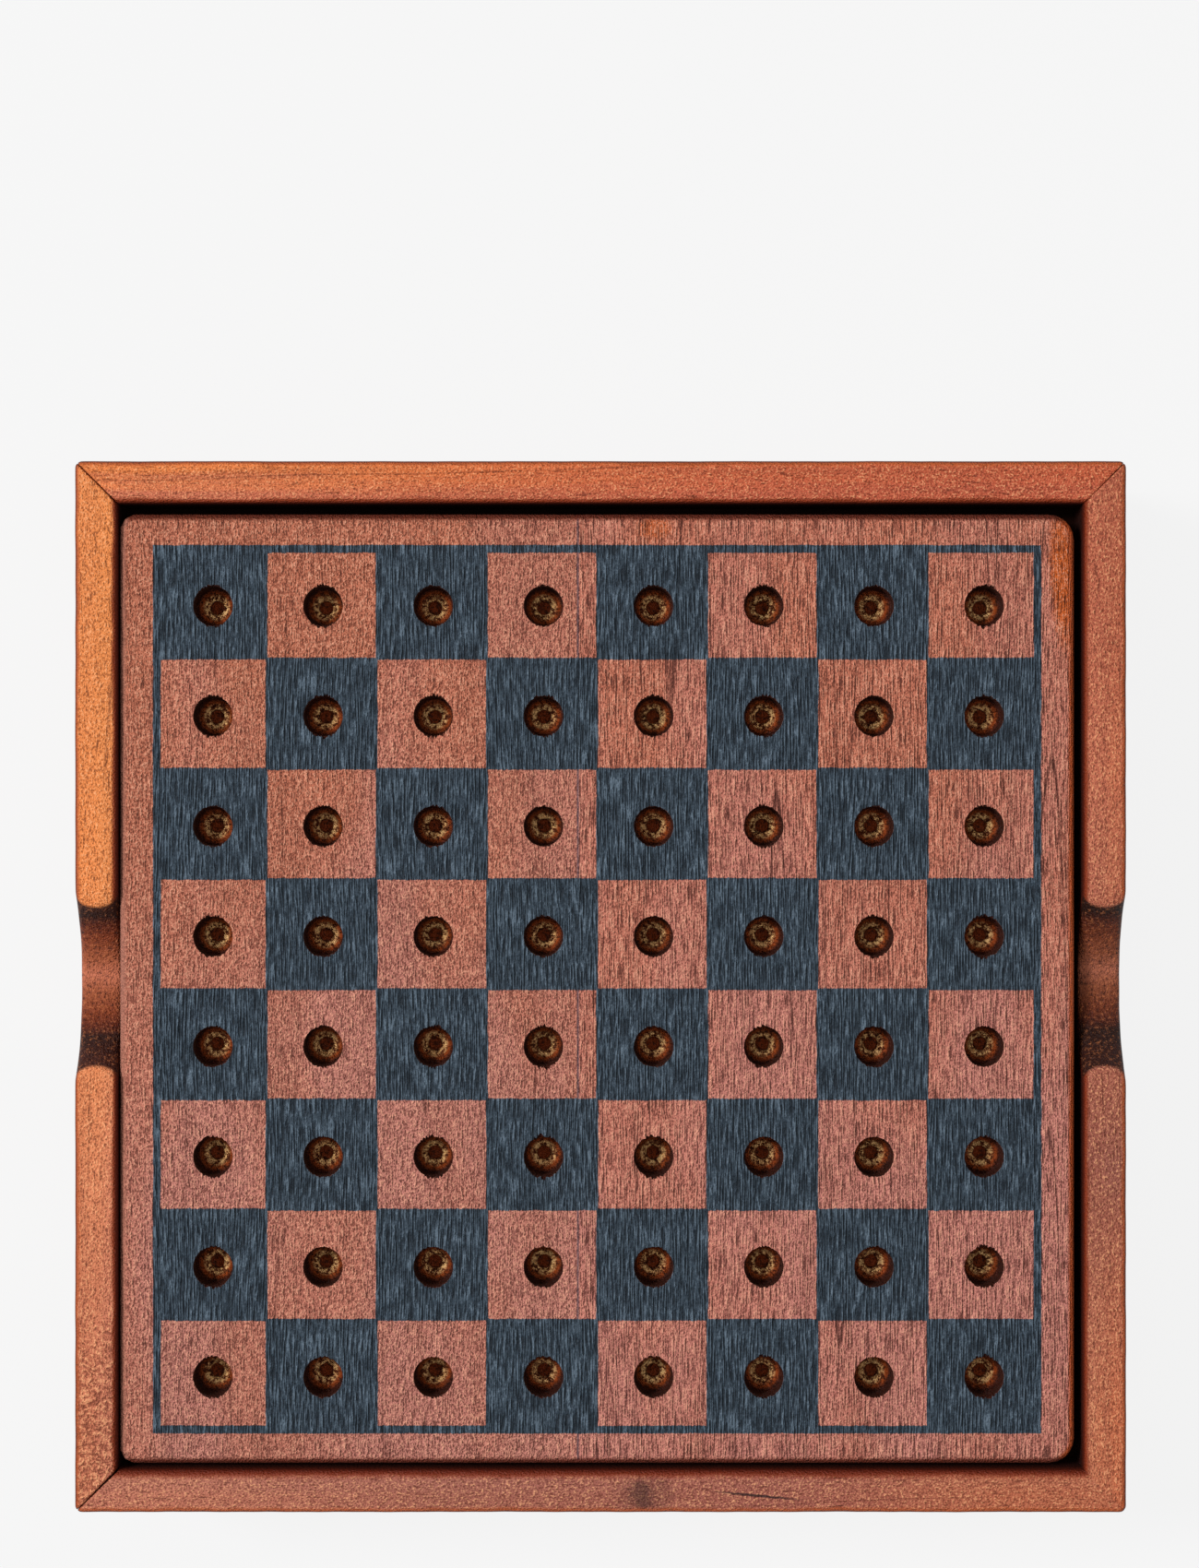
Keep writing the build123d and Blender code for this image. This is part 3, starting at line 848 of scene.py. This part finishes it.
# Painted shade on the rails' edges: outer darkens the rounded outer edge and its outline, inner and dark the
# inner edge by the gap, and side the inner face; warm is an orange band near the outer top edge
railEdge = {
    "warm": (184, 88, 36), "outer": (112, 42, 16), "inner": (138, 52, 18), "dark": (84, 24, 8),
    "side": (40, 12, 6),
    # Bands on the eased edge, and across the rail from its outer face at 0 to its inner face at 1
    "easedBand": (0.05, 0.4, 0.8), "warmBand": (0.17, 0.05, 0.6), "outlineBand": (0.07, 0.02, 0.85),
    "innerFrom": {"left": 0.85, "front": 0.76, "right": 0.93, "back": 0.88}, "share": 0.9,
    # How far below the top the outer ones start, and where they are at their fullest
    "below": (1.6 * mm, 0.7 * mm),
}
# The notches' end grain from the palest place out to the ends, in mm, and where that place is
notchGrain = {
    "stops": [(0.0, (190, 108, 80)), (3.0, (154, 80, 50)), (6.5, (124, 54, 26)), (8.8, (88, 32, 14)),
              (10.4, (40, 11, 4)), (14.0, (58, 18, 7))],
    "palest": {"left": 1.6, "right": 2.6}, "share": {"left": 0.98, "right": 0.8},
    "fuzz": (214, 130, 80), "fuzzBand": (0.52, 0.68, 0.32), "pit": (40, 15, 8), "pitBand": (0.48, 0.34, 0.75),
}
wrinkled = {"from": -48.0, "to": -72.0, "height": 6.0}  # the left rail's front end, in mm along it


# A colour ramp through (value, colour) pairs; the value runs from first to last
def colourRamp(tree, value, pairs):
    first, last = pairs[0][0], pairs[-1][0]
    share = put(tree, "ShaderNodeMapRange", {"Value": value, "From Min": first, "From Max": last}).outputs[0]
    node = put(tree, "ShaderNodeValToRGB", {0: share})
    stops = node.color_ramp.elements
    for position, colour in pairs[1:-1]:
        stops.new((position - first) / (last - first)).color = screenColour(*colour)
    stops[0].color = screenColour(*pairs[0][1])
    stops[len(stops) - 1].color = screenColour(*pairs[-1][1])
    return node.outputs[0]


# Stained wood that changes along the rail, a painted highlight and shade on its relief, darker edges over it
# as painted shade on the rounded edges and down the inner face, and end grain in the notches
def railMaterial(side):
    wood, stainsAndShade, edge = railWoods[side], railStainsAndShade, railEdge
    material, tree, shader = startMaterial("rail" + side.capitalize() + "Wood")
    place = put(tree, "ShaderNodeTexCoord").outputs["Object"]
    turned = 0.0 if wood["along"] else math.pi / 2
    lengthwise = put(tree, "ShaderNodeMapping", {"Vector": place, "Rotation": (0, 0, turned)}).outputs[0]
    grain = placeGroup(tree, woodGrain, {
        "Vector": lengthwise, "Seed": wood["seed"], "Bend": 0.5, "Line Count": 8.0,
    })
    parts = put(tree, "ShaderNodeSeparateXYZ", {0: place}).outputs
    along = maths(tree, "DIVIDE", parts[wood["along"]], mm)
    high = ramp(tree, parts[2], railTop - edge["below"][0], railTop - edge["below"][1])
    drift = maths(tree, "MULTIPLY_ADD", maths(tree, "SUBTRACT", grain["Broad"], 0.5), 50.0, along)
    outer = colourRamp(tree, drift, list(zip(stainsAndShade["places"], wood["outer"])))
    inner = colourRamp(tree, drift, list(zip(stainsAndShade["places"], wood["inner"])))
    fromOutside = attribute(tree, "fromOutside")
    lean = maths(tree, "MULTIPLY_ADD", maths(tree, "SUBTRACT", grain["Streak"], 0.5), 0.9, fromOutside)
    base = mix(tree, ramp(tree, lean, 0.25, 0.8), outer, inner)
    eased, dim, cut = (attribute(tree, label) for label in ("easedEdge", "dimFace", "cutFace"))
    relief = reliefOf(tree, grain, railRelief)
    if side == "left":
        here = ramp(tree, along, wrinkled["from"], wrinkled["to"], 0.0, wrinkled["height"])
        relief = maths(tree, "MULTIPLY_ADD", maths(tree, "SUBTRACT", grain["Wrinkle"], 0.5), here, relief)
    base = laid(tree, base, grain["Streak"], stainsAndShade["streakBand"], stainsAndShade["streak"])
    # Painted highlight on the raised grain and painted shade in the low grain
    base = laid(tree, base, relief, stainsAndShade["ridgeBand"], stainsAndShade["ridge"])
    base = laid(tree, base, relief, stainsAndShade["grooveBand"], stainsAndShade["groove"])
    cuts = maths(tree, "MULTIPLY", maths(tree, "MAXIMUM", grain["Line"], grain["Pore"]), stainsAndShade["cutShare"])
    base = mix(tree, cuts, base, screenColour(*stainsAndShade["cut"]))
    if wood["marks"]:
        base = mix(tree, marksOf(tree, place, wood["marks"]), base, screenColour(*stainsAndShade["mark"]))

    # Painted shade on the rounded outer edge and its outline, and on the inner edge and down the inner face
    colour = laid(tree, base, eased, edge["easedBand"], edge["outer"])
    warm = maths(tree, "MULTIPLY", high, fade(tree, fromOutside, edge["warmBand"]))
    colour = mix(tree, warm, colour, screenColour(*edge["warm"]))
    outline = maths(tree, "MULTIPLY", high, fade(tree, fromOutside, edge["outlineBand"]))
    colour = mix(tree, outline, colour, screenColour(*edge["outer"]))
    innerFrom, share = edge["innerFrom"][side], edge["share"]
    colour = laid(tree, colour, fromOutside, (innerFrom, 0.97, share), edge["inner"])
    darkest = fade(tree, fromOutside, (innerFrom + 0.06, 1.0, share))
    darkest = maths(tree, "MAXIMUM", darkest, fade(tree, eased, (0.35, 0.9, share)))
    colour = mix(tree, darkest, colour, screenColour(*edge["dark"]))
    colour = mix(tree, dim, colour, screenColour(*edge["side"]))
    fuzz = cloud(tree, inMillimetres(tree, place), scale=1.7, detail=3.0, roughness=0.75)
    if side in notchGrain["palest"]:
        fromPalest = maths(tree, "ABSOLUTE", maths(tree, "SUBTRACT", along, notchGrain["palest"][side]))
        shade = notchGrain["share"][side]
        pairs = [(spot, tuple(shade * value for value in tone)) for spot, tone in notchGrain["stops"]]
        endGrain = colourRamp(tree, fromPalest, pairs)
        endGrain = laid(tree, endGrain, fuzz, notchGrain["fuzzBand"], notchGrain["fuzz"])
        endGrain = laid(tree, endGrain, fuzz, notchGrain["pitBand"], notchGrain["pit"])
        colour = mix(tree, ramp(tree, cut, 0.35, 0.85), colour, endGrain)
    tree.links.new(colour, shader.inputs["Base Color"])
    shader.inputs["Roughness"].default_value = 0.55
    shader.inputs["Specular IOR Level"].default_value = 0.2
    fuzzed = maths(tree, "MULTIPLY", cut, maths(tree, "MULTIPLY", fuzz, 3.0))
    giveRelief(tree, shader, maths(tree, "ADD", fuzzed, relief), stainsAndShade["reliefDepth"])
    return material


for side, piece in railPieces.items():
    coat(piece, railMaterial(side))


insideWoods = {
    "panelWood": {"seed": 31.0, "light": (176, 124, 88), "dark": (138, 90, 62), "shine": 0.25},
    # The strips' near-black colours are painted shade in the gap round the board
    "shadedStripWood": {"seed": 35.0, "light": (34, 13, 8), "dark": (22, 8, 5), "shine": 0.02},
}
insideRelief = 0.06 * mm
bradSteel = {"bright": (120, 114, 106), "dull": (70, 58, 48)}


# The panel and the strips: bare wood with a thin stain, its grain along X; the strips are nearly black, as
# painted shade in the gap round the board
def insideMaterial(name):
    wood = insideWoods[name]
    material, tree, shader = startMaterial(name)
    place = put(tree, "ShaderNodeTexCoord").outputs["Object"]
    turned = put(tree, "ShaderNodeMapping", {"Vector": place, "Rotation": (0, 0, math.pi / 2)}).outputs[0]
    grain = placeGroup(tree, woodGrain, {
        "Vector": turned, "Seed": wood["seed"], "Bend": 1.4, "Line Count": 16.0,
    })
    base = mix(tree, ramp(tree, grain["Streak"], 0.3, 0.7), screenColour(*wood["light"]), screenColour(*wood["dark"]))
    cuts = maths(tree, "MAXIMUM", maths(tree, "MULTIPLY", grain["Line"], 0.5), grain["Pore"])
    deep = screenColour(*(0.5 * value for value in wood["dark"]))
    base = mix(tree, maths(tree, "MULTIPLY", cuts, 0.5), base, deep)
    tree.links.new(base, shader.inputs["Base Color"])
    shader.inputs["Roughness"].default_value = 0.62
    shader.inputs["Specular IOR Level"].default_value = wood["shine"]
    giveRelief(tree, shader, maths(tree, "ADD", grain["Fibre"], grain["Fleck"]), insideRelief)
    return material


# Steel with dull spots
def bradMaterial():
    material, tree, shader = startMaterial("bradSteel")
    place = put(tree, "ShaderNodeTexCoord").outputs["Object"]
    spots = cloud(tree, place, scale=1400.0, detail=2.0)
    base = mix(tree, spots, screenColour(*bradSteel["bright"]), screenColour(*bradSteel["dull"]))
    tree.links.new(base, shader.inputs["Base Color"])
    tree.links.new(ramp(tree, spots, 0.3, 0.7, 0.32, 0.6), shader.inputs["Roughness"])
    shader.inputs["Metallic"].default_value = 0.9
    return material


nodes = frame["nodes"]
coat(nodes["base_panel"], insideMaterial("panelWood"))
shadedStripWood, steel = insideMaterial("shadedStripWood"), bradMaterial()
for side in ("front", "back", "left", "right"):
    coat(nodes["strip_" + side], shadedStripWood)
coat(nodes["mitre_brads"], steel)
coat(nodes["strip_brads"], steel)
print("materials:", len(bpy.data.materials))


studio = {
    "floorSide": 30.0, "floorDrop": 0.02 * mm,  # below the rails' feet
    "floor": (60, 60, 60), "floorGlow": 0.864,  # mostly glow, so that the tray's shadow stays faint
    "backdrop": 0.91,  # what a low view sees beyond the floor
    "world": 0.31,
    "lamps": {
        "softTop": {"place": (0.0, 0.1, 1.5), "size": 1.4, "power": 6.8},
        "softLeft": {"place": (-1.3, 0.45, 1.6), "size": 0.55, "power": 40.0},
    },
    "cameraHeight": 0.5, "cameraX": -0.19 * mm, "cameraY": 34.7 * mm,
    "focal": 67.13, "sensor": 36.0,  # both in mm
}


# A round lamp of that size, turned towards the board
def softBox(name, place, size, power):
    light = bpy.data.lights.new(name, "AREA")
    light.shape, light.size, light.energy = "DISK", size, power
    lamp = bpy.data.objects.new(name, light)
    lamp.location = place
    lamp.rotation_euler = (Vector((0, 0, boardTop)) - Vector(place)).to_track_quat("-Z", "Y").to_euler()
    bpy.context.scene.collection.objects.link(lamp)


# A glowing floor, an even sky, two lamps and the camera straight above
def buildStudio():
    floorHeight = trayLow[2] - studio["floorDrop"]
    bpy.ops.mesh.primitive_plane_add(size=studio["floorSide"], location=(0, 0, floorHeight))
    floor = bpy.context.object
    floor.name = "studioFloor"
    material, tree, shader = startMaterial("studioFloor")
    shader.inputs["Base Color"].default_value = screenColour(*studio["floor"])
    shader.inputs["Roughness"].default_value = 0.9
    shader.inputs["Specular IOR Level"].default_value = 0.0
    shader.inputs["Emission Color"].default_value = (1, 1, 1, 1)
    shader.inputs["Emission Strength"].default_value = studio["floorGlow"]
    coat(floor, material)

    world = bpy.data.worlds.new("studioWorld")
    bpy.context.scene.world = world
    world.use_nodes = True
    sky = world.node_tree
    seen = put(sky, "ShaderNodeLightPath").outputs["Is Camera Ray"]
    strength = ramp(sky, seen, 0.0, 1.0, studio["world"], studio["backdrop"])
    sky.nodes["Background"].inputs[0].default_value = (1, 1, 1, 1)
    sky.links.new(strength, sky.nodes["Background"].inputs[1])
    for name, lamp in studio["lamps"].items():
        softBox(name, lamp["place"], lamp["size"], lamp["power"])

    lens = bpy.data.cameras.new("camera")
    lens.lens, lens.sensor_width = studio["focal"], studio["sensor"]
    camera = bpy.data.objects.new("camera", lens)
    camera.location = (studio["cameraX"], studio["cameraY"], railTop + studio["cameraHeight"])
    bpy.context.scene.collection.objects.link(camera)
    bpy.context.scene.camera = camera
    bpy.context.scene.view_settings.view_transform = "Standard"


buildStudio()
print("studio ready")
